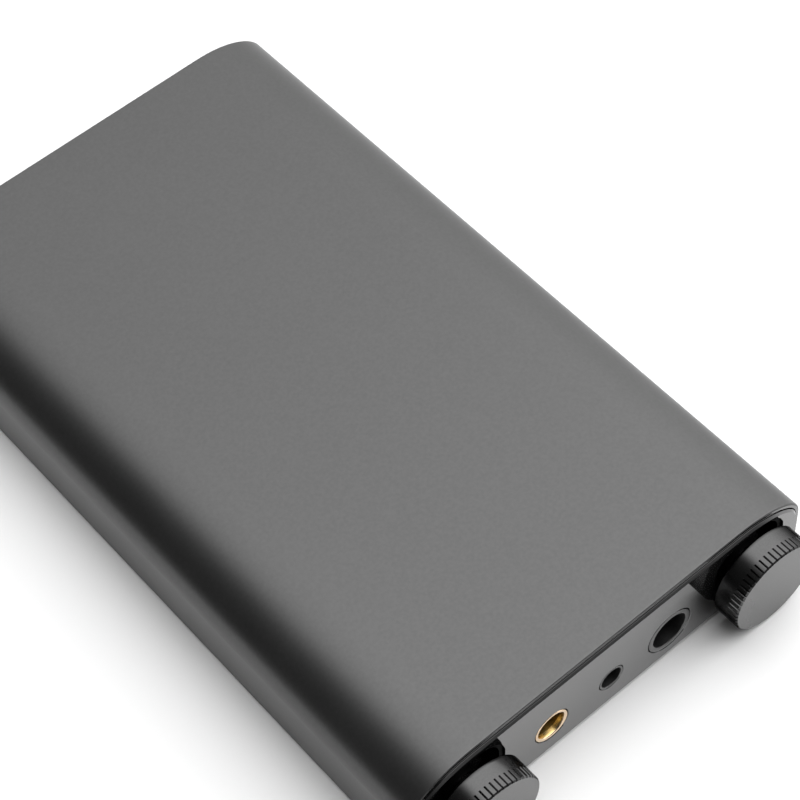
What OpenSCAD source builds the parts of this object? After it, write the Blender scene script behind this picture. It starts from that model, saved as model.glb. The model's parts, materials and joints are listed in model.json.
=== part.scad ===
// Portable headphone amplifier, lying on its display face with its underside up.
// X runs across the width, the front panel faces -Y, and Z = 0 is the face it rests on.

/* [Sleeve] */
// Width of the sleeve, side to side
body_w = 84; // [82:0.5:96]
// Length of the sleeve, front to rear
body_l = 140; // [137:1:170]
// Height of the sleeve, resting face to underside
body_h = 19.8; // [19.6:0.1:24]
// How far the underside's long edges round in across the width
edge_run = 14.2; // [12:0.1:15]
// How far the underside's long edges round down the sides
edge_drop = 8.2; // [7:0.1:9]
// Radius of the resting face's long edges
rest_edge_r = 0.8; // [0.4:0.1:1.2]
// Wall at the sides and underside
wall = 1.3; // [1:0.1:1.6]
// Wall at the resting face, where the display sits
rest_wall = 1.8; // [1.6:0.1:2.2]

/* [End panels] */
// Thickness of the front and rear panels
panel_t = 3; // [2.4:0.1:3.4]
// Rim of the sleeve left round each panel
rim_t = 0.75; // [0.6:0.05:0.95]
// Hairline gap round each panel
panel_gap = 0.15; // [0.05:0.05:0.2]
// How far the front panel stands out of the sleeve
panel_proud = 0.5; // [0.3:0.05:0.6]
// Strip of panel left above each knob pocket
pocket_lip = 1.3; // [1.1:0.05:1.8]
// Width of a knob pocket
pocket_w = 15.3; // [13:0.1:15.6]
// Strip of panel left below each knob pocket
pocket_sill = 1.7; // [1.5:0.05:2.2]
// Corner radius of a knob pocket
pocket_r = 5; // [4.5:0.1:6]
// Depth from the front face to a pocket's floor
pocket_depth = 4; // [3.6:0.1:5]
// Wall of the pocket's lining
liner_wall = 0.8; // [0.6:0.1:1]
// Floor of the pocket's lining
liner_floor = 1; // [0.8:0.1:1.4]

/* [Knobs] */
// From the sleeve's side to a knob's axis
knob_inset = 12; // [11.8:0.1:13]
// From the resting face up to a knob's rim
knob_lift = 0.5; // [0.3:0.05:1.2]
// Thickness of a knob
knob_t = 5; // [4:0.1:6]
// Gap from the front panel to the back of the volume knob
knob_gap = 1.25; // [1:0.05:2]
// How much further out the menu knob stands
menu_proud = 0.45; // [0.2:0.05:0.8]
// Inward travel of the menu knob
push_travel = 0.5; // [0.3:0.05:0.6]
// Chamfer on a knob's front rim
knob_chamfer = 0.25; // [0.15:0.05:0.8]
// Number of notches round a knob
notch_count = 56; // [24:1:60]
// Length of the notched band
notch_l = 2.1; // [1.5:0.1:2.5]
// Depth of a notch
notch_depth = 0.3; // [0.2:0.05:0.4]
// Radius of a knob's shaft
shaft_r = 2; // [1.8:0.1:2.2]
// Radius of a knob's hub
hub_r = 4; // [3.6:0.1:4.4]

/* [Sockets] */
// From the 6.35 mm socket's body to the board screw beside it
jack_gap = 0.25; // [0.15:0.05:0.5]
// Bore radius of the 6.35 mm socket
big_bore_r = 3.2; // [3.19:0.01:3.25]
// Bore radius of the 4.4 mm socket
mid_bore_r = 2.25; // [2.22:0.01:2.3]
// Bore radius of the 3.5 mm sockets
small_bore_r = 1.8; // [1.77:0.01:1.85]
// Outer radius of the 6.35 mm socket's collar
big_collar_r = 4.6; // [4.4:0.05:4.8]
// Outer radius of the 4.4 mm socket's collar
mid_collar_r = 3.45; // [3.3:0.05:3.6]
// Outer radius of the 3.5 mm sockets' collars
small_collar_r = 2.55; // [2.4:0.05:2.8]
// Bore depth of the 6.35 mm socket
big_bore_l = 24; // [20:0.5:26]
// Bore depth of the 4.4 mm socket
mid_bore_l = 17; // [15:0.5:18]
// Bore depth of the 3.5 mm sockets
small_bore_l = 14; // [12:0.5:14.5]
// From the card reader to each charging or data socket
usb_gap = 1.5; // [1:0.1:2.5]
// From the rear line socket's body to the board screw beside it
line_gap = 1.7; // [1:0.1:2]

/* [Inside] */
// From the underside to the board
board_drop = 4.8; // [4.7:0.1:5]
// Thickness of the board
board_t = 1.2; // [1:0.1:1.3]
// From the sleeve's side to the board's edge
board_inset = 4.8; // [4.6:0.1:5.2]
// Height of the headphone sockets' axes, as a share of the room under the board
jack_level = 0.51; // [0.49:0.005:0.52]
// Height of the knobs' axes, as a share of the room under the board
knob_level = 0.625; // [0.61:0.005:0.64]
// Width of the display window
window_w = 44; // [40:0.5:50]
// Length of the display window
window_l = 30; // [26:0.5:30]
// Thickness of the window's glass
window_t = 1; // [0.8:0.1:1.1]
// From the sleeve's side to the battery
battery_inset = 15; // [13:0.5:18]
// From the battery's rear end to the line socket's body
battery_end_gap = 4; // [1:0.5:12]
// From the battery up to the shield can
battery_headroom = 1.3; // [0.6:0.1:3]

/* [Hidden] */
$fn = 64;

// Clearances
fit_gap = 0.05;
run_gap = 0.04;
clamp_gap = 0.02;
slide_gap = 0.05;
screw_gap = 0.15;
board_gap = 0.05;
rim_gap = 0.15;
part_gap = 0.5;
// Extra length that takes a cut through a face
cut = 1;

// Steps round the sleeve's corners
edge_steps = 20;
rest_steps = 4;

// Ends and levels
front_y = -body_l / 2;
rear_y = body_l / 2;
board_top = body_h - board_drop;
board_z = board_top - board_t;
inner_top = body_h - wall;
panel_inset = rim_t + panel_gap;
jack_z = rest_wall + jack_level * (board_z - rest_wall);

// Knobs and what carries them
knob_x = body_w / 2 - knob_inset;
knob_z = rest_wall + knob_level * (board_z - rest_wall);
knob_drop = board_z - knob_z;
knob_r = knob_z - knob_lift;
pocket_top = body_h - panel_inset - pocket_lip;
pocket_bottom = panel_inset + pocket_sill;
pocket_h = pocket_top - pocket_bottom;
liner_rim = 0.4;
liner_back = pocket_depth + liner_floor;
bush_wall = 1;
bush_r = shaft_r + bush_wall;
bush_l = 3.8;
bush_front = liner_back - bush_l;
nut_t = 1.4;
nut_wall = 2.1;
nut_r = bush_r + nut_wall;
pot_w = 13;
pot_l = 8;
pot_back = liner_back + pot_l;
hub_gap = 0.6;
bore_end = 1.5;
pot_end = 1;
shaft_back = pot_back - pot_end;
grub_r = 0.75;
grub_l = 3.5;
grub_y = (knob_t - notch_l) / 2;
plunger_r = shaft_r + 0.4;
plunger_t = 1.4;
dome_t = 0.2;
dome_gap = 0.1;
encoder_room = dome_t + dome_gap + push_travel + plunger_t;
menu_shaft_back = shaft_back - encoder_room - clamp_gap;

// Sockets, which share the room between the board screws
big_share = 0.643;
mid_share = 0.536;
small_share = 0.429;
lug_w = 3.2;
lug_x = knob_x - pocket_w / 2 - lug_w / 2 - rim_gap;
screw_r = 0.95;
screw_head_r = 1.7;
screw_head_t = 1.2;
jack_room = lug_x - screw_head_r - jack_gap;
big_body_w = big_share * jack_room;
mid_body_w = mid_share * jack_room;
small_body_w = small_share * jack_room;
jack_pitch = jack_room - big_body_w / 2;
line_x = lug_x + screw_head_r + line_gap + small_body_w / 2;
jack_end = 4;
flare_l = 0.75;
flare_r = 0.65;
mouth_r = 0.3;
contact_w = 1.6;
contact_t = 0.3;
contact_l = 9;
contact_start = 4;
contact_floor = 0.6;

// Board, its lugs and screws
board_w = body_w - 2 * board_inset;
board_end_gap = 1;
board_front = liner_back + board_end_gap;
board_rear = panel_t + board_end_gap;
rail_reach = 1.8;
rail_t = 1.2;
lug_l = 11;
lug_t = 2.3;
screw_reach = board_t + lug_t - part_gap;
screw_depth = 8;
boss_r = 2.9;
boss_l = 10;
boss_bite = 0.3;
boss_x = body_w / 2 - wall - boss_r + boss_bite;
boss_z = rest_wall + boss_r - boss_bite;
rail_front = pot_back + board_end_gap;
rail_rear = panel_t + boss_l + board_end_gap;
panel_screw_l = 9;

// Display
window_recess = 0.05;
window_ledge = 2;
window_r = 2;
lcd_t = 2.2;
lcd_rim = 1;
lcd_w = window_w - 2 * lcd_rim;
lcd_l = window_l - 2 * lcd_rim;
display_y = front_y + panel_t + big_bore_l + jack_end + part_gap + lcd_l / 2;
ribbon_w = 12;
ribbon_t = 0.25;
ribbon_x = -10;
ribbon_in = 3;
ribbon_y = display_y + lcd_l / 2 - ribbon_in;
ribbon_socket = [14, 4, 1.5];

// Battery and its lead
battery_gap = 1.5;
battery_front = display_y + lcd_l / 2 + battery_gap;
battery_w = body_w - 2 * battery_inset;
battery_l = rear_y - panel_t - small_bore_l - jack_end - battery_end_gap - battery_front;
pad_t = 0.6;
pad_l = 8;
battery_z = rest_wall + pad_t;
can_size = [26, 22, 2.6];
battery_t = board_z - can_size[2] - battery_headroom - battery_z;
battery_r = 3;
wire_r = 0.6;
wire_run = 2;
wire_bend = 2.5;
wire_x = 10;
wire_pitch = 2;
plug_size = [8, 4];
plug_y = battery_front - wire_run - wire_bend;
wire_z = battery_z + battery_t / 2;
plug_z = wire_z + wire_bend + part_gap;

// Rear sockets
usb_w = 9;
usb_h = 3.2;
usb_l = 7.4;
usb_wall = 0.3;
usb_recess = 0.3;
usb_z = board_z - usb_h / 2;
tongue_w = 6.7;
tongue_t = 0.7;
tongue_l = 5;
reader_w = 14;
usb_x = (reader_w + usb_w) / 2 + usb_gap;
reader_l = 15;
reader_t = 1.7;
card_w = 11.4;
card_t = 0.9;
card_l = 13;
card_z = board_z - reader_t / 2;

// Parts on the board
dac_size = [8, 8, 1];
chip_size = [6, 5, 1.2];
chip_start = 8;
chip_rows = [0, 2 * chip_size[1]];
can_wall = 0.3;
can_gap = 2;
can_y = battery_front + chip_start + chip_rows[1] + chip_size[1] / 2 + can_gap + can_size[1] / 2;
board_reach = board_w / 2 - rail_reach;
processor_size = [10, 10, 1.1];
relay_size = [9, 6.5, 5];
cap_r = 3.15;
cap_h = 7;
cap_pitch = 9;
coil_size = [5, 5, 2.6];
coil_x = board_reach - coil_size[0] / 2 - part_gap;
coil_pitch = coil_size[0] + part_gap;
crystal_size = [5, 3.2, 1.2];
antenna_size = [12, 4, 1.2];
pad_size = [30, 20];

// Points on a quarter of an ellipse, from angle a to angle b
function corner(cx, cz, rx, rz, a, b, steps) =
    [for (i = [0:steps]) let (t = a + (b - a) * i / steps) [cx + rx * cos(t), cz + rz * sin(t)]];

// The sleeve's cross-section, drawn in by the same distance all round
function section(inset, floor_inset) =
    let (half = body_w / 2 - edge_run, run = edge_run - inset, drop = edge_drop - inset)
    let (low = max(rest_edge_r - inset, 0.1), side = body_w / 2 - inset - low)
    concat(
        corner(half, body_h - edge_drop, run, drop, 0, 90, edge_steps),
        corner(-half, body_h - edge_drop, run, drop, 90, 180, edge_steps),
        corner(-side, floor_inset + low, low, low, 180, 270, rest_steps),
        corner(side, floor_inset + low, low, low, 270, 360, rest_steps)
    );

// A flat shape in X and Z, drawn out along Y from y for a length
module along_y(y, length) {
    translate([0, y + length, 0])
        rotate([90, 0, 0])
            linear_extrude(length)
                children();
}

module rod_y(x, z, y, length, r) {
    translate([x, y, z])
        rotate([-90, 0, 0])
            cylinder(h = length, r = r);
}

module rod_z(x, y, z, length, r) {
    translate([x, y, z])
        cylinder(h = length, r = r);
}

// A box centred on x and y, standing on z
module box(x, y, z, size) {
    translate([x - size[0] / 2, y - size[1] / 2, z])
        cube(size);
}

// A box that hangs below the board's parts side
module on_board(x, y, size) {
    box(x, y, board_z - size[2], size);
}

module rounded_rect(w, h, r) {
    square([w - 2 * r, h], center = true);
    square([w, h - 2 * r], center = true);
    for (x = [-1, 1], y = [-1, 1])
        translate([x * (w / 2 - r), y * (h / 2 - r)])
            circle(r);
}

module pocket_shape(x, inset) {
    translate([x, (pocket_top + pocket_bottom) / 2])
        rounded_rect(pocket_w - 2 * inset, pocket_h - 2 * inset, pocket_r - inset);
}

module usb_shape(x, inset) {
    w = usb_w - 2 * inset;
    h = usb_h - 2 * inset;
    translate([x, usb_z])
        rounded_rect(w, h, h / 2 - fit_gap);
}

module panel_seat() {
    polygon(section(rim_t, rim_t));
}

module panel_shape() {
    polygon(section(panel_inset, panel_inset));
}

// A lug on a panel's back, with the thread for a board screw
module lug(side) {
    difference() {
        box(side * lug_x, front_y + panel_t + lug_l / 2, board_top, [lug_w, lug_l, lug_t]);
        rod_z(side * lug_x, front_y + panel_t + screw_depth, board_top - cut,
            lug_t + 2 * cut, screw_r + clamp_gap);
    }
}

module mirror_ends() {
    mirror([0, 1, 0])
        children();
}

module sleeve() {
    color([0.27, 0.27, 0.28])
        difference() {
            union() {
                along_y(front_y + panel_proud, body_l - panel_proud)
                    difference() {
                        polygon(section(0, 0));
                        polygon(section(wall, rest_wall));
                    }
                along_y(front_y + rail_front, body_l - rail_front - rail_rear)
                    intersection() {
                        polygon(section(wall / 2, wall / 2));
                        rail_shape();
                    }
                for (side = [-1, 1])
                    rod_y(side * boss_x, boss_z, rear_y - panel_t - boss_l, boss_l, boss_r);
            }
            window_cut();
            along_y(front_y, panel_t)
                panel_seat();
            along_y(rear_y - panel_t, panel_t + cut)
                panel_seat();
            for (side = [-1, 1])
                rod_y(side * boss_x, boss_z, rear_y - panel_t - boss_l - cut,
                    boss_l + 2 * cut, screw_r + clamp_gap);
        }
}

// Ledges above and below the board's edges
module rail_shape() {
    inner = board_w / 2 - rail_reach;
    for (side = [-1, 1], z = [board_z - board_gap - rail_t, board_top + board_gap])
        translate([side > 0 ? inner : -body_w / 2, z])
            square([body_w / 2 - inner, rail_t]);
}

// The display opening: a seat for the glass and a smaller view behind it
module window_cut() {
    seat = window_recess + window_t + fit_gap;
    translate([0, display_y, -cut]) {
        linear_extrude(seat + cut)
            rounded_rect(window_w + 2 * fit_gap, window_l + 2 * fit_gap, window_r + fit_gap);
        linear_extrude(rest_wall + 2 * cut)
            rounded_rect(window_w - 2 * window_ledge, window_l - 2 * window_ledge, window_r);
    }
}

module front_panel() {
    color([0.25, 0.25, 0.26]) {
        difference() {
            along_y(front_y, panel_t)
                difference() {
                    panel_shape();
                    for (side = [-1, 1])
                        pocket_shape(side * knob_x, 0);
                }
            rod_y(jack_pitch, jack_z, front_y - cut, panel_t + 2 * cut, big_collar_r + fit_gap);
            rod_y(-jack_pitch, jack_z, front_y - cut, panel_t + 2 * cut, mid_collar_r + fit_gap);
            rod_y(0, jack_z, front_y - cut, panel_t + 2 * cut, small_collar_r + fit_gap);
        }
        for (side = [-1, 1])
            lug(side);
    }
}

module rear_panel() {
    color([0.12, 0.12, 0.13]) {
        difference() {
            along_y(rear_y - panel_t, panel_t)
                difference() {
                    panel_shape();
                    for (side = [-1, 1])
                        usb_shape(side * usb_x, -rim_gap);
                    translate([0, card_z])
                        square([card_w + 2 * rim_gap, card_t + 2 * rim_gap], center = true);
                }
            rod_y(-line_x, jack_z, rear_y - panel_t - cut, panel_t + 2 * cut, small_collar_r + fit_gap);
            for (side = [-1, 1]) {
                rod_y(side * boss_x, boss_z, rear_y - panel_t - cut, panel_t + 2 * cut, screw_r + screw_gap);
                rod_y(side * boss_x, boss_z, rear_y - screw_head_t,
                    screw_head_t + cut, screw_head_r + screw_gap);
            }
        }
        mirror_ends()
            for (side = [-1, 1])
                lug(side);
    }
}

// A screw with its head at the origin's side and its shank along +Z
module screw(length) {
    difference() {
        cylinder(h = screw_head_t, r = screw_head_r);
        translate([0, 0, -cut])
            cylinder(h = cut + screw_head_t / 2, r = screw_r, $fn = 6);
    }
    translate([0, 0, screw_head_t])
        cylinder(h = length, r = screw_r);
}

module panel_screws() {
    color([0.2, 0.2, 0.21])
        for (side = [-1, 1])
            translate([side * boss_x, rear_y, boss_z])
                rotate([90, 0, 0])
                    screw(panel_screw_l);
}

module board_screws() {
    color([0.6, 0.6, 0.62])
        for (side = [-1, 1], y = [front_y + panel_t + screw_depth, rear_y - panel_t - screw_depth])
            translate([side * lug_x, y, board_z - screw_head_t])
                screw(screw_reach);
}

module display_glass() {
    color([0.02, 0.02, 0.025])
        translate([0, display_y, window_recess])
            linear_extrude(window_t)
                rounded_rect(window_w, window_l, window_r);
}

module display_module() {
    color([0.1, 0.1, 0.11])
        box(0, display_y, rest_wall, [lcd_w, lcd_l, lcd_t]);
}

module display_ribbon() {
    z = rest_wall + lcd_t;
    color([0.75, 0.45, 0.1])
        box(ribbon_x, ribbon_y, z, [ribbon_w, ribbon_t, board_z - ribbon_socket[2] - z]);
}

module ribbon_socket() {
    color([0.85, 0.83, 0.78])
        on_board(ribbon_x, ribbon_y, ribbon_socket);
}

// Black cup behind a knob, with the hole for the bushing
module pocket_liner(side) {
    color([0.02, 0.02, 0.02])
        difference() {
            along_y(front_y + liner_rim, liner_back - liner_rim)
                pocket_shape(side * knob_x, fit_gap);
            along_y(front_y, pocket_depth)
                pocket_shape(side * knob_x, fit_gap + liner_wall);
            rod_y(side * knob_x, knob_z, front_y, liner_back + cut, bush_r + fit_gap);
        }
}

module volume_pocket() {
    pocket_liner(1);
}

module menu_pocket() {
    pocket_liner(-1);
}

module bushing_nuts() {
    color([0.2, 0.2, 0.21])
        for (side = [-1, 1])
            difference() {
                translate([side * knob_x, front_y + pocket_depth, knob_z])
                    rotate([90, 0, 0])
                        cylinder(h = nut_t, r = nut_r, $fn = 6);
                rod_y(side * knob_x, knob_z, front_y, liner_back, bush_r + fit_gap);
            }
}

// A knob whose back face stands out from the front panel by gap
module knob(side, gap) {
    back = front_y - gap;
    front = back - knob_t;
    hub_back = front_y + bush_front - hub_gap - (gap - knob_gap);
    color([0.28, 0.28, 0.29])
        difference() {
            union() {
                translate([side * knob_x, back, knob_z])
                    rotate([90, 0, 0])
                        rotate_extrude()
                            polygon([
                                [0, 0],
                                [knob_r, 0],
                                [knob_r, knob_t - knob_chamfer],
                                [knob_r - knob_chamfer, knob_t],
                                [0, knob_t]
                            ]);
                rod_y(side * knob_x, knob_z, back - cut, hub_back - back + cut, hub_r);
            }
            rod_y(side * knob_x, knob_z, front + bore_end,
                knob_t + bush_front + knob_gap, shaft_r + clamp_gap);
            rod_z(side * knob_x, back - grub_y, knob_z - knob_r - cut, knob_r + cut, grub_r + clamp_gap);
            for (i = [0:notch_count - 1])
                translate([side * knob_x, front - cut, knob_z])
                    rotate([0, (i + 0.5) * 360 / notch_count, 0])
                        translate([knob_r, 0, 0])
                            notch();
        }
}

// A square cutter on its corner, as long as the notched band
module notch() {
    side = notch_depth * sqrt(2);
    translate([0, (notch_l + cut) / 2, 0])
        rotate([0, 45, 0])
            cube([side, notch_l + cut, side], center = true);
}

module volume_knob() {
    knob(1, knob_gap);
}

module menu_knob() {
    knob(-1, knob_gap + menu_proud);
}

// A shaft from inside its knob back to a depth behind the front panel
module shaft(side, gap, back) {
    start = front_y - gap - knob_t + bore_end + fit_gap;
    color([0.7, 0.7, 0.72])
        rod_y(side * knob_x, knob_z, start, front_y + back - start, shaft_r);
}

module volume_shaft() {
    shaft(1, knob_gap, shaft_back - fit_gap);
}

module menu_shaft() {
    shaft(-1, knob_gap + menu_proud, menu_shaft_back);
}

// A set screw from below, up against the shaft
module grub_screw(side, gap) {
    color([0.35, 0.35, 0.36])
        rod_z(side * knob_x, front_y - gap - grub_y, knob_z - shaft_r - clamp_gap - grub_l, grub_l, grub_r);
}

module volume_grub_screw() {
    grub_screw(1, knob_gap);
}

module menu_grub_screw() {
    grub_screw(-1, knob_gap + menu_proud);
}

// Case and bushing that carry a shaft, hung from the board
module shaft_case(side) {
    box(side * knob_x, front_y + liner_back + pot_l / 2, knob_z - knob_drop, [pot_w, pot_l, 2 * knob_drop]);
    rod_y(side * knob_x, knob_z, front_y + bush_front, bush_l + cut, bush_r);
}

module volume_pot() {
    color([0.2, 0.2, 0.22])
        difference() {
            shaft_case(1);
            rod_y(knob_x, knob_z, front_y, shaft_back, shaft_r + run_gap);
        }
}

module menu_encoder() {
    color([0.2, 0.2, 0.22])
        difference() {
            shaft_case(-1);
            rod_y(-knob_x, knob_z, front_y, shaft_back - encoder_room, shaft_r + run_gap);
            rod_y(-knob_x, knob_z, front_y + shaft_back - encoder_room - fit_gap,
                encoder_room + fit_gap, plunger_r + slide_gap);
        }
}

module menu_plunger() {
    color([0.85, 0.85, 0.82])
        rod_y(-knob_x, knob_z, front_y + shaft_back - encoder_room, plunger_t, plunger_r);
}

module menu_dome() {
    color([0.8, 0.78, 0.7])
        rod_y(-knob_x, knob_z, front_y + shaft_back - dome_t, dome_t, plunger_r);
}

// Socket body behind a panel: its bore, and the slot for one contact
module jack_body(x, w, bore_r, bore_l) {
    length = bore_l + jack_end;
    wall_z = jack_z - bore_r - contact_floor - contact_t - fit_gap;
    foot = wall_z - contact_floor;
    color([0.03, 0.03, 0.03])
        difference() {
            box(x, front_y + panel_t + length / 2, foot, [w, length, board_z - foot]);
            rod_y(x, jack_z, front_y + panel_t - cut, bore_l + cut, bore_r);
            box(x, front_y + panel_t + contact_start + contact_l / 2, wall_z,
                [contact_w + 2 * fit_gap, contact_l + 2 * fit_gap, jack_z - wall_z]);
        }
}

// Contact leaf in the slot, just clear of the plug's path
module jack_contact(x, bore_r) {
    color([0.85, 0.65, 0.25])
        box(x, front_y + panel_t + contact_start + contact_l / 2,
            jack_z - bore_r - contact_floor - contact_t, [contact_w, contact_l, contact_t]);
}

// Ring that lines the panel's hole, with a straight or a flared mouth
module jack_collar(x, r, bore_r, flare) {
    translate([x, front_y + panel_t, jack_z])
        rotate([90, 0, 0])
            rotate_extrude()
                polygon([
                    [bore_r, 0],
                    [r, 0],
                    [r, panel_t],
                    [bore_r + flare, panel_t],
                    [bore_r, panel_t - flare_l]
                ]);
}

module jack_635_body() {
    jack_body(jack_pitch, big_body_w, big_bore_r, big_bore_l);
}

module jack_635_collar() {
    color([0.3, 0.3, 0.31])
        jack_collar(jack_pitch, big_collar_r, big_bore_r, mouth_r);
}

module jack_635_contact() {
    jack_contact(jack_pitch, big_bore_r);
}

module jack_44_body() {
    jack_body(-jack_pitch, mid_body_w, mid_bore_r, mid_bore_l);
}

module jack_44_collar() {
    color([0.85, 0.6, 0.2])
        jack_collar(-jack_pitch, mid_collar_r, mid_bore_r, flare_r);
}

module jack_44_contact() {
    jack_contact(-jack_pitch, mid_bore_r);
}

module jack_35_body() {
    jack_body(0, small_body_w, small_bore_r, small_bore_l);
}

module jack_35_collar() {
    color([0.3, 0.3, 0.31])
        jack_collar(0, small_collar_r, small_bore_r, mouth_r);
}

module jack_35_contact() {
    jack_contact(0, small_bore_r);
}

module line_jack_body() {
    mirror_ends()
        jack_body(-line_x, small_body_w, small_bore_r, small_bore_l);
}

module line_jack_collar() {
    color([0.3, 0.3, 0.31])
        mirror_ends()
            jack_collar(-line_x, small_collar_r, small_bore_r, mouth_r);
}

module line_jack_contact() {
    mirror_ends()
        jack_contact(-line_x, small_bore_r);
}

module usb_socket(x) {
    color([0.7, 0.7, 0.72])
        difference() {
            along_y(rear_y - usb_recess - usb_l, usb_l)
                usb_shape(x, 0);
            along_y(rear_y - usb_recess - usb_l + usb_wall, usb_l)
                usb_shape(x, usb_wall);
        }
}

module usb_data_socket() {
    usb_socket(-usb_x);
}

module usb_charge_socket() {
    usb_socket(usb_x);
}

module usb_tongues() {
    y = rear_y - usb_recess - usb_l + usb_wall;
    color([0.03, 0.03, 0.03])
        for (side = [-1, 1])
            box(side * usb_x, y + tongue_l / 2, usb_z - tongue_t / 2, [tongue_w, tongue_l, tongue_t]);
}

module card_reader() {
    back = rear_y - panel_t - reader_l;
    color([0.65, 0.65, 0.67])
        difference() {
            on_board(0, back + reader_l / 2, [reader_w, reader_l, reader_t]);
            box(0, rear_y - panel_t - (card_l - cut) / 2, card_z - card_t / 2,
                [card_w, card_l + cut, card_t]);
        }
}

module main_board() {
    length = body_l - board_front - board_rear;
    color([0.05, 0.2, 0.1])
        difference() {
            box(0, front_y + board_front + length / 2, board_z, [board_w, length, board_t]);
            for (side = [-1, 1], y = [front_y + panel_t + screw_depth, rear_y - panel_t - screw_depth])
                rod_z(side * lug_x, y, board_z - cut, board_t + 2 * cut, screw_r + screw_gap);
        }
}

module thermal_pad() {
    color([0.6, 0.65, 0.7])
        box(0, can_y, board_top, [pad_size[0], pad_size[1], inner_top - board_top]);
}

module battery() {
    color([0.75, 0.76, 0.78])
        translate([0, battery_front + battery_l / 2, battery_z])
            linear_extrude(battery_t)
                rounded_rect(battery_w, battery_l, battery_r);
}

module battery_pads() {
    color([0.1, 0.1, 0.1])
        for (y = [battery_front + pad_l, battery_front + battery_l - pad_l])
            box(0, y, rest_wall, [battery_w - 2 * battery_r, pad_l, pad_t]);
}

module battery_plug() {
    color([0.9, 0.88, 0.8])
        box(wire_x, plug_y, plug_z, [plug_size[0], plug_size[1], board_z - plug_z]);
}

// One wire from the battery's front, bent up into the plug
module wire(x) {
    rod_y(x, wire_z, battery_front - wire_run, wire_run, wire_r);
    translate([x, battery_front - wire_run, wire_z + wire_bend])
        rotate([0, 90, 0])
            rotate([0, 0, -90])
                rotate_extrude(angle = 90)
                    bend_shape();
    rod_z(x, plug_y, wire_z + wire_bend, plug_z - wire_z - wire_bend, wire_r);
}

module bend_shape() {
    translate([wire_bend, 0])
        circle(wire_r);
}

module battery_lead_red() {
    color([0.75, 0.05, 0.05])
        wire(wire_x + wire_pitch / 2);
}

module battery_lead_black() {
    color([0.04, 0.04, 0.04])
        wire(wire_x - wire_pitch / 2);
}

module shield_can() {
    inner = [can_size[0] - 2 * can_wall, can_size[1] - 2 * can_wall, can_size[2] - can_wall];
    color([0.72, 0.72, 0.74])
        difference() {
            on_board(0, can_y, can_size);
            on_board(0, can_y, inner);
        }
}

module dac_chip() {
    color([0.04, 0.04, 0.05])
        on_board(0, can_y, dac_size);
}

module processor() {
    color([0.04, 0.04, 0.05])
        on_board(-(can_size[0] / 2 + board_reach) / 2, can_y, processor_size);
}

module amp_chips() {
    color([0.04, 0.04, 0.05])
        for (x = [-1, 1], row = chip_rows)
            on_board(x * chip_size[0] * 2.5, battery_front + chip_start + row, chip_size);
}

module output_relays() {
    color([0.8, 0.8, 0.78])
        for (side = [-1, 1])
            on_board(side * knob_x, front_y + pot_back + relay_size[0], relay_size);
}

module filter_capacitors() {
    color([0.1, 0.12, 0.2])
        for (side = [-1, 1], i = [0:2])
            rod_z(side * (knob_x - cap_r), display_y + (i - 1) * cap_pitch, board_z - cap_h, cap_h, cap_r);
}

module power_inductors() {
    color([0.25, 0.25, 0.26])
        for (i = [0:2])
            on_board(coil_x - i * coil_pitch, can_y, coil_size);
}

module clock_crystals() {
    color([0.8, 0.78, 0.7])
        for (side = [-1, 1])
            on_board(side * (dac_size[0] + 1), can_y, crystal_size);
}

module antenna() {
    color([0.85, 0.85, 0.82])
        on_board(knob_x, rear_y - board_rear - antenna_size[1] / 2, antenna_size);
}

sleeve();
front_panel();
rear_panel();
panel_screws();
display_glass();
display_module();
display_ribbon();
ribbon_socket();
volume_pocket();
menu_pocket();
bushing_nuts();
volume_knob();
volume_shaft();
volume_grub_screw();
volume_pot();
menu_knob();
menu_shaft();
menu_grub_screw();
menu_encoder();
menu_plunger();
menu_dome();
jack_635_body();
jack_635_collar();
jack_635_contact();
jack_44_body();
jack_44_collar();
jack_44_contact();
jack_35_body();
jack_35_collar();
jack_35_contact();
line_jack_body();
line_jack_collar();
line_jack_contact();
usb_data_socket();
usb_charge_socket();
usb_tongues();
card_reader();
main_board();
board_screws();
thermal_pad();
battery();
battery_pads();
battery_plug();
battery_lead_red();
battery_lead_black();
shield_can();
dac_chip();
processor();
amp_chips();
output_relays();
filter_capacitors();
power_inductors();
clock_crystals();
antenna();
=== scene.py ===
import json
import math

import bmesh
import bpy
from mathutils import Matrix, Vector


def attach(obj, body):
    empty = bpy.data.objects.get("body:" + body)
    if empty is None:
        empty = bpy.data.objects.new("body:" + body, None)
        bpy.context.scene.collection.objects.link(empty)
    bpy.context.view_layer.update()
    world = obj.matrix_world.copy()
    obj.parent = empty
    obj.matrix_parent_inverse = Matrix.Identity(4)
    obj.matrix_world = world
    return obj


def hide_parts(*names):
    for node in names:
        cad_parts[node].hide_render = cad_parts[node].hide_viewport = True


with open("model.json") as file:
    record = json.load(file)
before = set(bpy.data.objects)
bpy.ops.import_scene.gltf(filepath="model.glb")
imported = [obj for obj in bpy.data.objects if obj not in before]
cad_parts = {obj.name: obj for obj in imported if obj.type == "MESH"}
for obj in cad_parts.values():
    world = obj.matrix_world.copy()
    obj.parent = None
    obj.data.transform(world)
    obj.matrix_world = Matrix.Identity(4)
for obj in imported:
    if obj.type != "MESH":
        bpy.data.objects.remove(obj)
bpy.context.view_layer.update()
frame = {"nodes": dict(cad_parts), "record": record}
mm = 0.001
print("frame loaded:", len(frame["nodes"]), "nodes")


# camera: long lens, high over the left front corner
camera = {
    "place": (-132.424, -199.607, 343.753),
    "right": (0.758507, -0.649718, -0.050331),
    "up": (0.552245, 0.599865, 0.578954),
    "back": (-0.345965, -0.466936, 0.813805),
    "lens": 109.003,
    "sensor": 36,
    "clip": 0.01,
}


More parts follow.
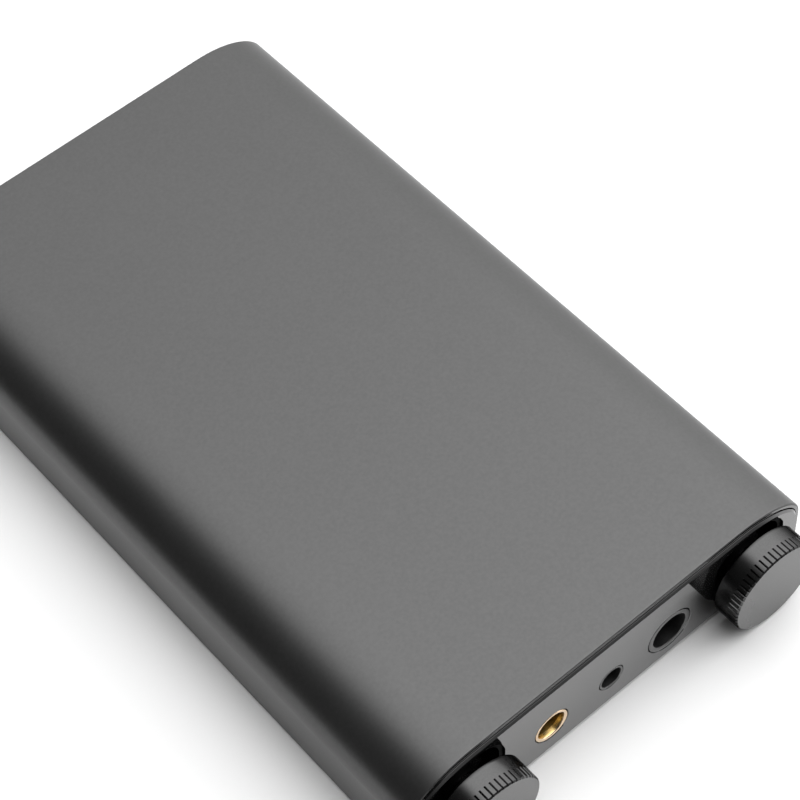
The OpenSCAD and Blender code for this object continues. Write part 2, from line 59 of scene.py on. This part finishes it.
def addCamera(values):
    data = bpy.data.cameras.new("camera")
    data.lens = values["lens"]
    data.sensor_width = values["sensor"]
    data.clip_start = values["clip"]
    obj = bpy.data.objects.new("camera", data)
    bpy.context.scene.collection.objects.link(obj)
    facing = Matrix((values["right"], values["up"], values["back"])).transposed()
    obj.matrix_world = Matrix.Translation(Vector(values["place"]) * mm) @ facing.to_4x4()
    bpy.context.scene.camera = obj


addCamera(camera)
bpy.context.scene.view_settings.view_transform = "Standard"
print("camera placed")


def mapRange(tree, source, span, low, high, kind="LINEAR"):
    node = tree.nodes.new("ShaderNodeMapRange")
    node.interpolation_type = kind
    node.inputs["From Min"].default_value, node.inputs["From Max"].default_value = span
    node.inputs["To Min"].default_value, node.inputs["To Max"].default_value = low, high
    tree.links.new(source, node.inputs["Value"])
    return node.outputs[0]


# light: a bright tent overhead and on the right, dark on the left and in front, dim behind
light = {
    "strength": 2.6,
    "dim": 0.05,
    "leftEdge": (-0.39, -0.10),
    "frontEdge": (-0.8, -0.35),
    "frontLevel": 0.06,
    "rearSlope": (0.2, 0.95),
    "nearLevel": 1.18,
    "rearLevel": 0.23,
    "rise": (0.1, 0.7),
    "lowLevel": 0.66,
}


def addWorld(values):
    world = bpy.data.worlds.new("studio")
    world.use_nodes = True
    bpy.context.scene.world = world
    tree = world.node_tree
    tree.nodes.clear()
    put, join = tree.nodes.new, tree.links.new

    def times(a, b):
        node = put("ShaderNodeMath")
        node.operation = "MULTIPLY"
        join(a, node.inputs[0])
        join(b, node.inputs[1])
        return node.outputs[0]

    coords = put("ShaderNodeTexCoord")
    axes = put("ShaderNodeSeparateXYZ")
    join(coords.outputs["Generated"], axes.inputs[0])
    x, y, z = (axes.outputs[axis] for axis in "XYZ")
    side = mapRange(tree, x, values["leftEdge"], 0, 1, "SMOOTHSTEP")
    front = mapRange(tree, y, values["frontEdge"], values["frontLevel"], 1, "SMOOTHSTEP")
    rear = mapRange(tree, y, values["rearSlope"], values["nearLevel"], values["rearLevel"])
    level = mapRange(tree, z, values["rise"], values["lowLevel"], 1, "SMOOTHSTEP")
    glow = put("ShaderNodeMath")
    glow.operation = "MULTIPLY_ADD"
    glow.inputs[1].default_value = values["strength"]
    glow.inputs[2].default_value = values["dim"]
    join(times(times(side, front), times(rear, level)), glow.inputs[0])
    back = put("ShaderNodeBackground")
    back.inputs["Color"].default_value = (1, 1, 1, 1)
    join(glow.outputs[0], back.inputs["Strength"])
    out = put("ShaderNodeOutputWorld")
    join(back.outputs[0], out.inputs["Surface"])


addWorld(light)
print("light set")


# one grain for every finish: fine speckle, slow drift and a height for the bump
grainValues = {"speckle": 4000.0, "drift": 30.0, "share": 0.3, "speckleDetail": 3, "driftDetail": 4,
               "span": (0.3, 0.7)}


def makeGrainGroup(values):
    group = bpy.data.node_groups.new("fineGrain", "ShaderNodeTree")
    face = group.interface
    for name, kind, value in (
        ("Vector", "NodeSocketVector", None),
        ("Speckle Scale", "NodeSocketFloat", values["speckle"]),
        ("Drift Scale", "NodeSocketFloat", values["drift"]),
        ("Drift Share", "NodeSocketFloat", values["share"]),
    ):
        socket = face.new_socket(name=name, in_out="INPUT", socket_type=kind)
        if value is not None:
            socket.default_value = value
    for name in ("Tone", "Gloss", "Height"):
        face.new_socket(name=name, in_out="OUTPUT", socket_type="NodeSocketFloat")
    put, join = group.nodes.new, group.links.new
    given, gives = put("NodeGroupInput"), put("NodeGroupOutput")
    speckle = put("ShaderNodeTexNoise")
    speckle.inputs["Detail"].default_value = values["speckleDetail"]
    drift = put("ShaderNodeTexNoise")
    drift.inputs["Detail"].default_value = values["driftDetail"]
    join(given.outputs["Vector"], speckle.inputs["Vector"])
    join(given.outputs["Vector"], drift.inputs["Vector"])
    join(given.outputs["Speckle Scale"], speckle.inputs["Scale"])
    join(given.outputs["Drift Scale"], drift.inputs["Scale"])
    both = put("ShaderNodeMix")
    both.data_type = "FLOAT"
    join(given.outputs["Drift Share"], both.inputs[0])
    join(speckle.outputs["Fac"], both.inputs[2])
    join(drift.outputs["Fac"], both.inputs[3])
    join(both.outputs[0], gives.inputs["Tone"])
    join(drift.outputs["Fac"], gives.inputs["Gloss"])
    join(speckle.outputs["Fac"], gives.inputs["Height"])
    return group


grainGroup = makeGrainGroup(grainValues)


def makeFinish(name, dark, pale, rough, metal=0.0, speckle=grainValues["speckle"], drift=grainValues["drift"],
               share=grainValues["share"], bump=0.05, depth=0.00002, level=0.5, coat=0.0, edge=1.0):
    finish = bpy.data.materials.new(name)
    finish.use_nodes = True
    tree = finish.node_tree
    put, join = tree.nodes.new, tree.links.new
    shader = tree.nodes["Principled BSDF"]
    shader.inputs["Metallic"].default_value = metal
    shader.inputs["Specular IOR Level"].default_value = level
    shader.inputs["Coat Weight"].default_value = coat
    shader.inputs["Specular Tint"].default_value = (edge, edge, edge, 1)  # grazing shine
    coords = put("ShaderNodeTexCoord")
    grain = put("ShaderNodeGroup")
    grain.node_tree = grainGroup
    grain.inputs["Speckle Scale"].default_value = speckle
    grain.inputs["Drift Scale"].default_value = drift
    grain.inputs["Drift Share"].default_value = share
    join(coords.outputs["Object"], grain.inputs["Vector"])
    tint = put("ShaderNodeMix")
    tint.data_type = "RGBA"
    tint.inputs[6].default_value = (*dark, 1)
    tint.inputs[7].default_value = (*pale, 1)
    join(mapRange(tree, grain.outputs["Tone"], grainValues["span"], 0, 1), tint.inputs[0])
    join(tint.outputs[2], shader.inputs["Base Color"])
    join(mapRange(tree, grain.outputs["Gloss"], grainValues["span"], *rough), shader.inputs["Roughness"])
    if bump:
        relief = put("ShaderNodeBump")
        relief.inputs["Strength"].default_value = bump
        relief.inputs["Distance"].default_value = depth
        join(grain.outputs["Height"], relief.inputs["Height"])
        join(relief.outputs[0], shader.inputs["Normal"])
    return finish


def grey(value):
    return (value, value, value)


# dark and pale tone and roughness range of each finish, then what sets it apart
finishValues = {
    "anodised": (grey(0.080), grey(0.092), (0.33, 0.37), {"metal": 0.9, "speckle": 1600.0}),
    "panelAnodised": (grey(0.156), grey(0.172), (0.05, 0.08), {"metal": 0.95, "bump": 0.02}),
    "collarAnodised": (grey(0.110), grey(0.130), (0.20, 0.28), {"metal": 0.95}),
    "knobAnodised": (grey(0.072), grey(0.086), (0.22, 0.28), {"metal": 1.0, "edge": 0.25}),
    "knobFace": (grey(0.116), grey(0.136), (0.24, 0.30), {"metal": 0.9}),
    # near-black: the pocket liners' own black, and painted shade where it coats the sleeve's inside and the
    # front panel's hole walls
    "pocketBlackAndPaintedShade": (grey(0.002), grey(0.004), (0.55, 0.65), {"level": 0.08}),
    "rearBlack": (grey(0.018), grey(0.024), (0.38, 0.46), {"share": 0.2, "bump": 0.1}),
    "socketBlack": (grey(0.004), grey(0.007), (0.50, 0.60), {"level": 0.12}),
    "goldPlate": ((0.80, 0.60, 0.40), (0.88, 0.68, 0.48), (0.16, 0.24), {"metal": 1.0}),
    # the same gold plating, painted darker inside the throat and darkest deep in the bore: painted shade
    "goldBorePaintedShade": ((0.46, 0.33, 0.13), (0.56, 0.41, 0.18), (0.24, 0.32), {"metal": 1.0}),
    "goldDeepPaintedShade": ((0.13, 0.08, 0.02), (0.20, 0.13, 0.04), (0.35, 0.45), {"metal": 1.0}),
    "brightSteel": (grey(0.52), grey(0.62), (0.22, 0.32), {"metal": 1.0}),
    "darkSteel": (grey(0.014), grey(0.022), (0.40, 0.50), {"metal": 0.9, "edge": 0.4}),
    "windowGlass": (grey(0.006), grey(0.009), (0.03, 0.06), {"share": 0.9, "bump": 0, "coat": 0.6}),
    "displayBlack": (grey(0.012), grey(0.018), (0.2, 0.3), {}),
    "amberFilm": ((0.52, 0.22, 0.02), (0.66, 0.32, 0.05), (0.25, 0.35), {}),
    "creamPlastic": ((0.62, 0.58, 0.48), (0.72, 0.69, 0.60), (0.4, 0.5), {}),
    "circuitBoard": ((0.008, 0.05, 0.025), (0.02, 0.10, 0.05), (0.3, 0.4),
                     {"speckle": 900.0, "drift": 250.0, "share": 0.5}),
    "chipBlack": (grey(0.012), grey(0.022), (0.5, 0.62), {"bump": 0.2}),
    "cellFoil": (grey(0.42), grey(0.55), (0.3, 0.42), {"metal": 0.8, "share": 0.6, "drift": 120.0, "bump": 0.2}),
    "foam": (grey(0.03), grey(0.06), (0.85, 0.95), {"speckle": 2500.0, "bump": 0.6, "depth": 0.0001}),
    "redWire": ((0.38, 0.01, 0.01), (0.52, 0.02, 0.015), (0.35, 0.45), {}),
    "blackWire": (grey(0.01), grey(0.018), (0.35, 0.45), {}),
    "ceramicWhite": (grey(0.66), grey(0.76), (0.25, 0.35), {}),
}
finishes = {name: makeFinish(name, dark, pale, rough, **more)
            for name, (dark, pale, rough, more) in finishValues.items()}

# the record's slots and the finish each one shows
slotFinish = {
    "anodised": "anodised", "panel_anodised": "panelAnodised", "knob_anodised": "knobAnodised",
    "rear_plastic": "rearBlack", "pocket_black": "pocketBlackAndPaintedShade", "socket_black": "socketBlack",
    "gold_plate": "goldPlate", "bright_steel": "brightSteel", "dark_steel": "darkSteel",
    "window_glass": "windowGlass", "display_black": "displayBlack", "amber_film": "amberFilm",
    "cream_plastic": "creamPlastic", "circuit_board": "circuitBoard", "chip_black": "chipBlack",
    "cell_foil": "cellFoil", "foam": "foam", "red_wire": "redWire", "black_wire": "blackWire",
    "ceramic_white": "ceramicWhite",
}


def dressNodes():
    for entry in frame["record"]["subparts"]:
        data = frame["nodes"][entry["node"]].data
        data.materials.clear()
        data.materials.append(finishes[slotFinish[entry["material_slot"]]])


dressNodes()
print("finishes made:", len(finishes))


# floor: white table, far larger than the view
floor = {"half": 3.0, "squares": 8, "drop": 0.00002}


def addFloor(values):
    bm = bmesh.new()
    bmesh.ops.create_grid(bm, x_segments=values["squares"], y_segments=values["squares"], size=values["half"])
    bmesh.ops.translate(bm, verts=bm.verts, vec=(0, 0, -values["drop"]))
    data = bpy.data.meshes.new("floor")
    bm.to_mesh(data)
    bm.free()
    obj = bpy.data.objects.new("floor", data)
    bpy.context.scene.collection.objects.link(obj)
    data.materials.append(makeFinish("tableWhite", grey(0.85), grey(0.87), (0.75, 0.85), speckle=900.0,
                                     drift=4.0, share=0.8, bump=0, level=0.2))


addFloor(floor)
print("floor laid")


# helpers that every piece uses, in mm
shaping = {"weld": 1e-4, "planar": 1e-5, "planeDigits": 4, "roundSteps": 96, "slotSteps": 12, "arcMiddle": 0.3}
square = ((-1, -1), (1, -1), (1, 1), (-1, 1))


def finishPiece(bm, name, body, coats, nodes, sharp=32.0):
    bmesh.ops.remove_doubles(bm, verts=bm.verts, dist=shaping["weld"])
    bmesh.ops.recalc_face_normals(bm, faces=bm.faces)
    if all(len(e.link_faces) == 2 for e in bm.edges) and bm.calc_volume(signed=True) < 0:
        bmesh.ops.reverse_faces(bm, faces=bm.faces)
    limit = math.radians(sharp)
    for face in bm.faces:
        face.smooth = True
    for edge in bm.edges:
        if len(edge.link_faces) == 2 and edge.calc_face_angle(0) > limit:
            edge.smooth = False
    bmesh.ops.scale(bm, verts=bm.verts, vec=(mm, mm, mm))
    data = bpy.data.meshes.new(name)
    bm.to_mesh(data)
    bm.free()
    obj = bpy.data.objects.new(name, data)
    bpy.context.scene.collection.objects.link(obj)
    for coat in coats:
        data.materials.append(finishes[coat])
    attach(obj, body)
    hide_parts(*nodes)
    weigh = obj.modifiers.new("weigh", "WEIGHTED_NORMAL")
    weigh.keep_sharp = True


def rimOf(bm, before):
    # drops the new face and keeps its rim as edges
    faces = list(dict.fromkeys(f for v in bm.verts if v not in before for f in v.link_faces))
    rim = list(dict.fromkeys(e for f in faces for e in f.edges))
    bmesh.ops.delete(bm, geom=faces, context="FACES_ONLY")
    return rim


def edgesOf(verts):
    return list(dict.fromkeys(e for v in verts for e in v.link_edges))


def roundCorners(bm, corners, r, steps):
    bmesh.ops.bevel(bm, geom=corners, offset=r, affect="VERTICES", segments=steps,
                    profile=0.5, material=-1, offset_type="OFFSET", clamp_overlap=False)


def cornerLoop(bm, places, r, steps):
    before = set(bm.verts)
    corners = [bm.verts.new(place) for place in places]
    bm.faces.new(corners)
    roundCorners(bm, corners, r, steps)
    return rimOf(bm, before)


def roundLoop(bm, x, y, z, r):
    made = bmesh.ops.create_circle(bm, segments=shaping["roundSteps"], radius=r, cap_ends=False)["verts"]
    bmesh.ops.rotate(bm, verts=made, matrix=Matrix.Rotation(math.radians(90), 3, "X"))
    bmesh.ops.translate(bm, verts=made, vec=(x, y, z))
    return edgesOf(made)


def slotLoop(bm, x, y, z, width, height, r):
    w, h = width / 2, height / 2
    return cornerLoop(bm, [(x + a * w, y, z + b * h) for a, b in square], r, shaping["slotSteps"])


def fillBetween(bm, loops, normal, coat=0):
    edges = [e for loop in loops for e in loop]
    made = bmesh.ops.triangle_fill(bm, edges=edges, use_beauty=True, normal=normal)
    for item in made["geom"]:
        if isinstance(item, bmesh.types.BMFace):
            item.material_index = coat


def wallBetween(bm, first, second, coat=0):
    # two loops in one plane are filled, because a bridge there can twist
    planes = {round(v.co.y, shaping["planeDigits"]) for e in first + second for v in e.verts}
    if len(planes) == 1:
        fillBetween(bm, [first, second], (0, 1, 0), coat)
        return
    for face in bmesh.ops.bridge_loops(bm, edges=first + second)["faces"]:
        face.material_index = coat


def turn(bm, profile, steps, closed=False):
    # spins radius and place pairs round the Y axis
    line = [bm.verts.new((r, y, 0)) for r, y in profile]
    ends = line[1:] + line[:1] if closed else line[1:]
    edges = [bm.edges.new(pair) for pair in zip(line, ends)]
    bmesh.ops.spin(bm, geom=line + edges, cent=(0, 0, 0), axis=(0, 1, 0), angle=math.tau, steps=steps,
                   use_merge=True)
    bmesh.ops.remove_doubles(bm, verts=bm.verts, dist=shaping["weld"])


# the section that the sleeve and both panels share
section = {
    "halfWidth": 42.0, "height": 19.8, "edgeRun": 14.2, "edgeDrop": 8.2, "restRadius": 0.8,
    "edgeSteps": 28, "restSteps": 6, "leastRadius": 0.1,
}


def outlineLoop(bm, inset, y):
    # four corners, rounded in a space where the edge's ellipse is a circle
    half = section["halfWidth"] - inset
    low, high = inset, section["height"] - inset
    run, drop = section["edgeRun"] - inset, section["edgeDrop"] - inset
    stretch = run / drop
    before = set(bm.verts)
    places = ((-half, low), (half, low), (half, high), (-half, high))
    corners = [bm.verts.new((x, y, z * stretch)) for x, z in places]
    bm.faces.new(corners)
    roundCorners(bm, corners[2:], run, section["edgeSteps"])
    verts = [v for v in bm.verts if v not in before]
    bmesh.ops.scale(bm, verts=verts, vec=(1, 1, 1 / stretch))
    ends = [v for v in verts if abs(v.co.z - low) < shaping["planar"]]
    restRadius = max(section["restRadius"] - inset, section["leastRadius"])
    roundCorners(bm, ends, restRadius, section["restSteps"])
    return rimOf(bm, before)


# sleeve: one drawn shell with the display opening in its resting face
sleeve = {"front": -69.5, "rear": 70.0, "rim": 0.8, "edgeRound": 0.3, "edgeSteps": 4}
window = {"y": -24.5, "w": 44.0, "l": 30.0, "corner": 2.0, "cornerSteps": 10, "gap": 0.05,
          "low": 0.05, "high": 1.05, "edge": 0.15}


def windowLoop(bm, z):
    w, l = window["w"] / 2 + window["gap"], window["l"] / 2 + window["gap"]
    places = [(a * w, window["y"] + b * l, z) for a, b in square]
    return cornerLoop(bm, places, window["corner"], window["cornerSteps"])


def makeSleeve():
    bm = bmesh.new()
    r, rim, steps = sleeve["edgeRound"], sleeve["rim"], sleeve["edgeSteps"]
    angles = [math.radians(90 * i / steps) for i in range(steps + 1)]
    arc = [(r * (1 - math.sin(a)), r * (1 - math.cos(a))) for a in angles]  # inset and depth
    front = [outlineLoop(bm, inset, sleeve["front"] + depth) for inset, depth in arc]
    rear = [outlineLoop(bm, inset, sleeve["rear"] - depth) for inset, depth in reversed(arc)]
    inner = [outlineLoop(bm, rim, sleeve["rear"]), outlineLoop(bm, rim, sleeve["front"])]
    for first, second in zip(front + rear, front[1:] + rear):
        wallBetween(bm, first, second)
    wallBetween(bm, rear[-1], inner[0], 1)
    wallBetween(bm, inner[0], inner[1], 2)
    wallBetween(bm, inner[1], front[0], 1)
    openings = []
    for z, coat in ((0, 0), (rim, 2)):
        flat = [f for f in bm.faces if all(abs(v.co.z - z) < shaping["planar"] for v in f.verts)]
        edge = list(dict.fromkeys(e for f in flat for e in f.edges))
        bmesh.ops.delete(bm, geom=flat, context="FACES_ONLY")
        openings.append(windowLoop(bm, z))
        fillBetween(bm, [edge, openings[-1]], (0, 0, -1), coat)
    wallBetween(bm, openings[0], openings[1], 1)
    # the inside wall and the inner face around the window take the near-black coat: painted shade that keeps the
    # gaps at both ends dark
    coats = ["anodised", "panelAnodised", "pocketBlackAndPaintedShade"]  # outside, machined ends, inside
    finishPiece(bm, "sleeveShell", "base", coats, ["sleeve"])


makeSleeve()
print("sleeve drawn")


# end panels: a chamfered plate with edge-broken holes
def holeLoop(bm, hole, y, grow):
    if "r" in hole:
        return roundLoop(bm, hole["x"], y, hole["z"], hole["r"] + grow)
    return slotLoop(bm, hole["x"], y, hole["z"], hole["w"] + 2 * grow, hole["h"] + 2 * grow,
                    hole["corner"] + grow)


def makePanel(bm, panel, holes):
    face, back, inset, chamfer = panel["face"], panel["back"], panel["inset"], panel["chamfer"]
    inward, thick = (1 if back > face else -1), abs(back - face)
    outer = [outlineLoop(bm, inset + chamfer, face), outlineLoop(bm, inset, face + inward * chamfer),
             outlineLoop(bm, inset, back)]
    wallBetween(bm, outer[0], outer[1])
    wallBetween(bm, outer[1], outer[2])
    fronts, backs = [outer[0]], [outer[2]]
    for hole in holes:
        rings = [(0, hole["broken"]), (hole["broken"], 0)]  # depth and growth
        if "sink" in hole:
            # a well for a screw head, then the clear hole
            narrow = hole["clear"] - hole["r"]
            rings += [(hole["sink"], 0), (hole["sink"], narrow), (thick, narrow)]
        else:
            rings.append((thick, 0))
        loops = [holeLoop(bm, hole, face + inward * depth, grow) for depth, grow in rings]
        for i, (first, second) in enumerate(zip(loops, loops[1:])):
            wallBetween(bm, first, second, hole.get("coat", 0) if i else 0)
        fronts.append(loops[0])
        backs.append(loops[-1])
    fillBetween(bm, fronts, (0, -inward, 0))
    fillBetween(bm, backs, (0, inward, 0))


frontPanel = {"face": -70.0, "back": -67.0, "inset": 1.0, "chamfer": 0.35}
sockets = {"pitch": 12.654, "z": 7.92, "bigR": 4.65, "midR": 3.5, "smallR": 2.6, "broken": 0.08}
pocket = {"x": 30.0, "low": 2.6, "high": 17.6, "w": 15.3, "corner": 5.0, "broken": 0.06}


def makeFrontPanel():
    bm = bmesh.new()
    z, h = (pocket["low"] + pocket["high"]) / 2, pocket["high"] - pocket["low"]
    holes = [{"x": side * pocket["x"], "z": z, "w": pocket["w"], "h": h, "corner": pocket["corner"],
              "broken": pocket["broken"], "coat": 1} for side in (-1, 1)]
    for x, size in ((sockets["pitch"], "bigR"), (-sockets["pitch"], "midR"), (0, "smallR")):
        holes.append({"x": x, "z": sockets["z"], "r": sockets[size], "broken": sockets["broken"], "coat": 1})
    makePanel(bm, frontPanel, holes)
    # the walls of the pockets and socket holes take the near-black coat: painted shade on the panel's own metal
    coats = ["panelAnodised", "pocketBlackAndPaintedShade"]
    finishPiece(bm, "frontPanelPlate", "base", coats, ["front_panel"])


rearPanel = {"face": 70.0, "back": 67.0, "inset": 0.9, "chamfer": 0.3}
rearHoles = {
    "usbX": 13.0, "usbZ": 12.2, "usbW": 9.3, "usbH": 3.5, "usbEndFlat": 0.05,
    "cardW": 11.7, "cardH": 1.2, "cardZ": 12.95, "cardCorner": 0.25,
    "lineX": -28.0, "lineR": 2.6, "lineBroken": 0.075,
    "screwX": 38.1, "screwZ": 4.4, "headR": 1.85, "headSink": 1.2, "clearR": 1.1, "broken": 0.15,
}


def makeRearPanel():
    bm = bmesh.new()
    v = rearHoles
    holes = [{"x": side * v["usbX"], "z": v["usbZ"], "w": v["usbW"], "h": v["usbH"],
              "corner": v["usbH"] / 2 - v["usbEndFlat"], "broken": v["broken"]} for side in (-1, 1)]
    holes.append({"x": 0, "z": v["cardZ"], "w": v["cardW"], "h": v["cardH"], "corner": v["cardCorner"],
                  "broken": v["broken"]})
    holes.append({"x": v["lineX"], "z": sockets["z"], "r": v["lineR"], "broken": v["lineBroken"]})
    holes += [{"x": side * v["screwX"], "z": v["screwZ"], "r": v["headR"], "sink": v["headSink"],
               "clear": v["clearR"], "broken": v["broken"]} for side in (-1, 1)]
    makePanel(bm, rearPanel, holes)
    finishPiece(bm, "rearPanelPlate", "base", ["rearBlack"], ["rear_panel"])


makeFrontPanel()
makeRearPanel()
print("panels cut")


# knobs: turned body, notched front band, hub and a set-screw hole
knobPlaces = {
    "volumeKnob": {"x": 30.0, "back": -71.25, "body": "volume_rotor", "node": "volume_knob"},
    "menuKnob": {"x": -30.0, "back": -71.7, "body": "menu_rotor", "node": "menu_knob"},
}
knob = {
    "z": 9.3, "r": 8.8, "thick": 5.0, "chamfer": 0.25, "backBreak": 0.2, "sharp": 28, "slack": 0.02,
    "band": 2.1, "bandEnd": 0.06, "notches": 56, "notchDepth": 0.3, "perNotch": 6,
    "hubR": 4.0, "hubEnd": -69.4, "bore": 2.02, "boreEnd": 1.5,
    "grubR": 0.77, "grubBack": 1.45, "grubHalf": 0.9, "grubColumns": 6.1, "grubSide": 0.2, "grubEnd": 2.1,
}


def cutNotches(bm, lip):
    pitch = math.tau / knob["notches"]
    slack, inner = knob["slack"], knob["r"] - knob["notchDepth"]
    for v in bm.verts:
        r = math.hypot(v.co.x, v.co.z)
        share = math.atan2(v.co.z, v.co.x) / pitch - 0.5
        outside = v.co.y > lip + slack or r < knob["r"] - knob["chamfer"] - slack
        if outside or abs(share - round(share)) > slack:
            continue
        bmesh.ops.scale(bm, verts=[v], vec=(inner / r, 1, inner / r))


def cutGrubHole(bm, y):
    half = math.tau / (knob["notches"] * knob["perNotch"]) * knob["grubColumns"]
    patch = []
    for f in bm.faces:
        c = f.calc_center_median()
        near = c.z < -knob["r"] + knob["grubSide"] and abs(c.y - y) < knob["grubHalf"]
        if near and abs(math.atan2(c.x, -c.z)) < half:
            patch.append(f)
    bmesh.ops.delete(bm, geom=patch, context="FACES")
    edge = [e for e in bm.edges if len(e.link_faces) == 1]
    rings = []
    for depth in (knob["r"], knob["grubEnd"]):
        verts = bmesh.ops.create_circle(bm, segments=len(edge), radius=knob["grubR"], cap_ends=False)["verts"]
        bmesh.ops.translate(bm, verts=verts, vec=(0, y, 0))
        for v in verts:
            v.co.z = -math.sqrt(depth ** 2 - v.co.x ** 2)  # lies on the turned wall
        rings.append(edgesOf(verts))
    wallBetween(bm, edge, rings[0])
    wallBetween(bm, rings[0], rings[1])
    bmesh.ops.edgeloop_fill(bm, edges=rings[1])


def makeKnob(name, place):
    r, back, front = knob["r"], place["back"], place["back"] - knob["thick"]
    lip, grub = front + knob["band"], back - knob["grubBack"]
    soft, middle = knob["backBreak"], knob["backBreak"] * shaping["arcMiddle"]
    bm = bmesh.new()
    turn(bm, [
        (0, front + knob["boreEnd"]), (knob["bore"], front + knob["boreEnd"]), (knob["bore"], knob["hubEnd"]),
        (knob["hubR"] - soft, knob["hubEnd"]), (knob["hubR"], knob["hubEnd"] - soft), (knob["hubR"], back),
        (r - soft, back), (r - middle, back - middle), (r, back - soft),
        (r, grub + knob["grubHalf"]), (r, grub - knob["grubHalf"]), (r, lip + knob["bandEnd"]), (r, lip),
        (r, front + knob["chamfer"]), (r - knob["chamfer"], front), (0, front),
    ], knob["notches"] * knob["perNotch"])
    for f in bm.faces:
        f.material_index = 1 if f.calc_center_median().y < front + knob["slack"] else 0
    cutNotches(bm, lip)
    cutGrubHole(bm, grub)
    bmesh.ops.translate(bm, verts=bm.verts, vec=(place["x"], 0, knob["z"]))
    coats = ["knobAnodised", "knobFace"]
    finishPiece(bm, name, place["body"], coats, [place["node"]], sharp=knob["sharp"])


for name, place in knobPlaces.items():
    makeKnob(name, place)
print("knobs turned")


# socket collars: turned rings set into the panels, dark inside
collars = {
    "bigCollar": {"x": 12.654, "face": -70.0, "r": 4.5, "bore": 3.2, "mouth": 3.55, "node": "jack_635_collar"},
    "smallCollar": {"x": 0.0, "face": -70.0, "r": 2.47, "bore": 1.8, "mouth": 2.08, "node": "jack_35_collar"},
    "lineCollar": {"x": -28.0, "face": 70.0, "r": 2.47, "bore": 1.8, "mouth": 2.08, "node": "line_jack_collar"},
}
collar = {"depth": 3.0, "edge": 0.1, "mouthDepth": 0.75, "slack": 0.01, "steps": 128, "sharp": 50}


def makeCollar(name, ring):
    inward = 1 if ring["face"] < 0 else -1
    edge, middle = collar["edge"], collar["edge"] * shaping["arcMiddle"]

    def at(depth):
        return ring["face"] + inward * depth

    r, bore, mouth = ring["r"], ring["bore"], ring["mouth"]
    bm = bmesh.new()
    turn(bm, [
        (bore, at(collar["depth"])), (r, at(collar["depth"])),
        (r, at(edge)), (r - middle, at(middle)), (r - edge, at(0)),
        (mouth + edge, at(0)), (mouth + middle, at(middle)), (mouth, at(edge)),
        (bore, at(collar["mouthDepth"])),
    ], collar["steps"], closed=True)
    for f in bm.faces:
        c = f.calc_center_median()
        f.material_index = 1 if math.hypot(c.x, c.z) < mouth - collar["slack"] else 0
    bmesh.ops.translate(bm, verts=bm.verts, vec=(ring["x"], 0, sockets["z"]))
    coats = ["collarAnodised", "socketBlack"]
    finishPiece(bm, name, "base", coats, [ring["node"]], sharp=collar["sharp"])


# gold collar: a rolled lip that runs down into the bore, given as radius and depth
goldCollar = {
    "x": -12.654, "face": -70.0, "depth": 3.0, "bore": 2.25, "throat": 2.76, "paintedShadeFrom": 1.25,
    "steps": 128, "sharp": 50,
    "lip": [(3.36, 0.14), (3.30, 0.04), (3.20, 0.0), (3.02, 0.0), (2.90, 0.03), (2.80, 0.10),
            (2.73, 0.22), (2.66, 0.50), (2.54, 1.00), (2.42, 1.60), (2.34, 2.30)],
}


def makeGoldCollar():
    g = goldCollar
    bm = bmesh.new()
    end = g["face"] + g["depth"]
    lip = [(r, g["face"] + depth) for r, depth in g["lip"]]
    turn(bm, [(g["bore"], end), (lip[0][0], end)] + lip, g["steps"], closed=True)
    for f in bm.faces:
        c = f.calc_center_median()
        # faces inside the throat are painted darker as shade, and darker still past the set depth into the bore
        if math.hypot(c.x, c.z) < g["throat"]:
            f.material_index = 2 if c.y - g["face"] > g["paintedShadeFrom"] else 1
    bmesh.ops.translate(bm, verts=bm.verts, vec=(g["x"], 0, sockets["z"]))
    coats = ["goldPlate", "goldBorePaintedShade", "goldDeepPaintedShade"]
    finishPiece(bm, "goldCollar", "base", coats, ["jack_44_collar"], sharp=g["sharp"])


for name, ring in collars.items():
    makeCollar(name, ring)
makeGoldCollar()
print("collars turned")


# display pane: drawn upright, then laid into the resting face
def makePane():
    bm = bmesh.new()
    w, l, r, edge = window["w"], window["l"], window["corner"], window["edge"]
    loops = [slotLoop(bm, 0, y, -window["y"], w - 2 * inset, l - 2 * inset, r - inset)
             for y, inset in ((window["low"], edge), (window["low"] + edge, 0), (window["high"], 0))]
    for first, second in zip(loops, loops[1:]):
        wallBetween(bm, first, second)
    fillBetween(bm, loops[:1], (0, -1, 0))
    fillBetween(bm, loops[-1:], (0, 1, 0))
    bmesh.ops.rotate(bm, verts=bm.verts, matrix=Matrix.Rotation(math.radians(90), 3, "X"))
    finishPiece(bm, "displayPane", "base", ["windowGlass"], ["display_glass"])


makePane()
print("display pane set")


# rear charging and data sockets: drawn shells with a rolled mouth
shells = {"usbDataShell": (-13.0, "usb_data_socket"), "usbChargeShell": (13.0, "usb_charge_socket")}
shell = {"z": 12.2, "w": 9.0, "h": 3.2, "wall": 0.3, "mouth": 69.7, "end": 62.3, "roll": 0.09,
         "endFlat": 0.05, "sharp": 50}


def makeShell(name, x, node):
    bm = bmesh.new()
    wall, roll, mouth, end = shell["wall"], shell["roll"], shell["mouth"], shell["end"]

    def loop(inset, y):
        h = shell["h"] - 2 * inset
        return slotLoop(bm, x, y, shell["z"], shell["w"] - 2 * inset, h, h / 2 - shell["endFlat"])

    loops = [loop(0, end), loop(0, mouth - roll), loop(roll, mouth),
             loop(wall - roll, mouth), loop(wall, mouth - roll), loop(wall, end + wall)]
    for first, second in zip(loops, loops[1:]):
        wallBetween(bm, first, second)
    fillBetween(bm, loops[:1], (0, -1, 0))
    fillBetween(bm, loops[-1:], (0, 1, 0))
    finishPiece(bm, name, "base", ["brightSteel"], [node], sharp=shell["sharp"])


for name, (x, node) in shells.items():
    makeShell(name, x, node)
print("rear sockets drawn")
